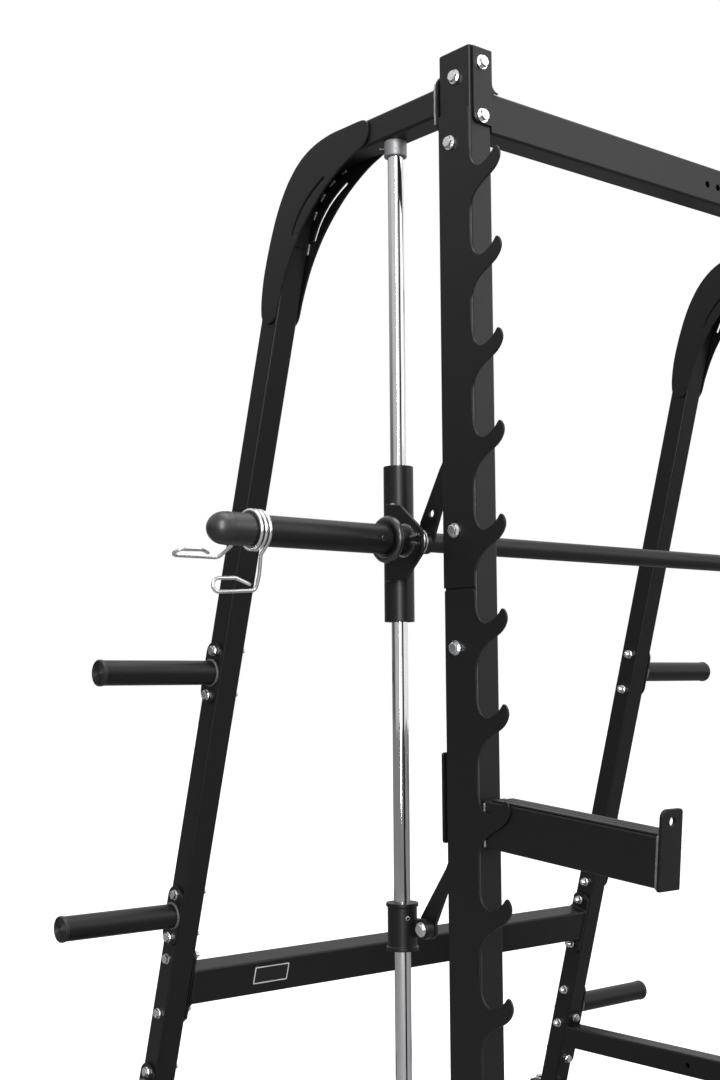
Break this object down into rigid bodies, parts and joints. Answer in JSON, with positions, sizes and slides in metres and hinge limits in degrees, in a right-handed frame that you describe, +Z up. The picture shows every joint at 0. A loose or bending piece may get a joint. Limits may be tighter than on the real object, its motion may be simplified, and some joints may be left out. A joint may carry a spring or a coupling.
{
  "type": "smith machine",
  "caption": "Smith machine: a barbell on two chrome guide rods in a black bent-tube frame, with hook racks, safety stops, spotter arms and plate storage pegs.",
  "frame": {"origin": "centre of the footprint on the floor (bottom centre of the bounding box)", "axes": "+Z up, +X along the bar, +Y towards the back of the machine; the user faces +Y from the front, with the left side at -X"},
  "size_m": [2.124, 1.5, 2.15],
  "materials": {
    "frame_black": "satin black powder coat",
    "carriage_black": "satin black powder coat",
    "bar_black": "black phosphate, satin",
    "rod_chrome": "hard chrome, polished",
    "spring_chrome": "bright chrome wire",
    "bolt_zinc": "bright zinc plate",
    "cast_grey": "raw grey casting",
    "rubber_black": "matte",
    "cap_rubber": "soft matte rubber",
    "bushing_plastic": "matte",
    "pad_plastic": "matte, ribbed"
  },
  "bodies": {
    "frame": {"front_upright_left": "frame_black", "hook_rack_upper_left": "frame_black", "hook_rack_lower_left": "frame_black", "top_rail_left": "frame_black", "rear_upright_left": "frame_black", "gusset_outer_left": "frame_black", "gusset_inner_left": "frame_black", "lower_side_rail_left": "frame_black", "base_rail_left": "frame_black", "storage_peg_1_left": "frame_black", "storage_peg_2_left": "frame_black", "storage_peg_3_left": "frame_black", "guide_rod_left": "rod_chrome", "rod_top_socket_left": "cast_grey", "rod_bottom_socket_left": "cast_grey", "rod_bumper_left": "rubber_black", "front_upright_right": "frame_black", "hook_rack_upper_right": "frame_black", "hook_rack_lower_right": "frame_black", "top_rail_right": "frame_black", "rear_upright_right": "frame_black", "gusset_outer_right": "frame_black", "gusset_inner_right": "frame_black", "lower_side_rail_right": "frame_black", "base_rail_right": "frame_black", "storage_peg_1_right": "frame_black", "storage_peg_2_right": "frame_black", "storage_peg_3_right": "frame_black", "guide_rod_right": "rod_chrome", "rod_top_socket_right": "cast_grey", "rod_bottom_socket_right": "cast_grey", "rod_bumper_right": "rubber_black", "top_crossbeam": "frame_black", "rear_crossmember": "frame_black"},
    "carriage": {"carriage_sleeve_left": "carriage_black", "carriage_bushing_left": "bushing_plastic", "carriage_sleeve_right": "carriage_black", "carriage_bushing_right": "bushing_plastic"},
    "bar": {"bar_sleeve_left": "bar_black", "bar_flange_left": "bar_black", "bar_end_cap_left": "cap_rubber", "lock_hook_left": "carriage_black", "bar_sleeve_right": "bar_black", "bar_flange_right": "bar_black", "bar_end_cap_right": "cap_rubber", "lock_hook_right": "carriage_black", "bar": "bar_black"},
    "spring_collar_left": {"spring_collar_left": "spring_chrome"},
    "safety_stop_left": {"stop_collar_left": "carriage_black", "stop_pivot_bolt_left": "bolt_zinc"},
    "stop_lever_left": {"stop_lever_left": "carriage_black"},
    "spotter_arm_left": {"spotter_arm_left": "frame_black", "spotter_pad_left": "pad_plastic"},
    "spring_collar_right": {"spring_collar_right": "spring_chrome"},
    "safety_stop_right": {"stop_collar_right": "carriage_black", "stop_pivot_bolt_right": "bolt_zinc"},
    "stop_lever_right": {"stop_lever_right": "carriage_black"},
    "spotter_arm_right": {"spotter_arm_right": "frame_black", "spotter_pad_right": "pad_plastic"}
  },
  "joints": [
    {"name": "carriage_slide", "type": "slide", "parent": "frame", "child": "carriage", "axis": [0, 0, 1], "range_m": [-0.38, 0.475]},
    {"name": "bar_twist", "type": "hinge", "parent": "carriage", "child": "bar", "pos_m": [0, -0.1993, 1.333], "axis": [1, 0, 0], "range_deg": [-25, 12]},
    {"name": "spring_collar_left_off", "type": "slide", "parent": "bar", "child": "spring_collar_left", "axis": [-1, 0, 0], "range_m": [0, 0.15]},
    {"name": "safety_stop_left_slide", "type": "slide", "parent": "frame", "child": "safety_stop_left", "axis": [0, 0, 1], "range_m": [-0.285, 0]},
    {"name": "stop_lever_left_hinge", "type": "hinge", "parent": "safety_stop_left", "child": "stop_lever_left", "pos_m": [-0.604, -0.1984, 0.6834], "axis": [1, 0, 0], "range_deg": [-30, 12]},
    {"name": "spotter_arm_left_slide", "type": "slide", "parent": "frame", "child": "spotter_arm_left", "axis": [0, 0, 1], "range_m": [-0.25, 0.3]},
    {"name": "spring_collar_right_off", "type": "slide", "parent": "bar", "child": "spring_collar_right", "axis": [1, 0, 0], "range_m": [0, 0.15]},
    {"name": "safety_stop_right_slide", "type": "slide", "parent": "frame", "child": "safety_stop_right", "axis": [0, 0, 1], "range_m": [-0.285, 0]},
    {"name": "stop_lever_right_hinge", "type": "hinge", "parent": "safety_stop_right", "child": "stop_lever_right", "pos_m": [0.604, -0.1984, 0.6834], "axis": [1, 0, 0], "range_deg": [-30, 12]},
    {"name": "spotter_arm_right_slide", "type": "slide", "parent": "frame", "child": "spotter_arm_right", "axis": [0, 0, 1], "range_m": [-0.25, 0.3]}
  ]
}
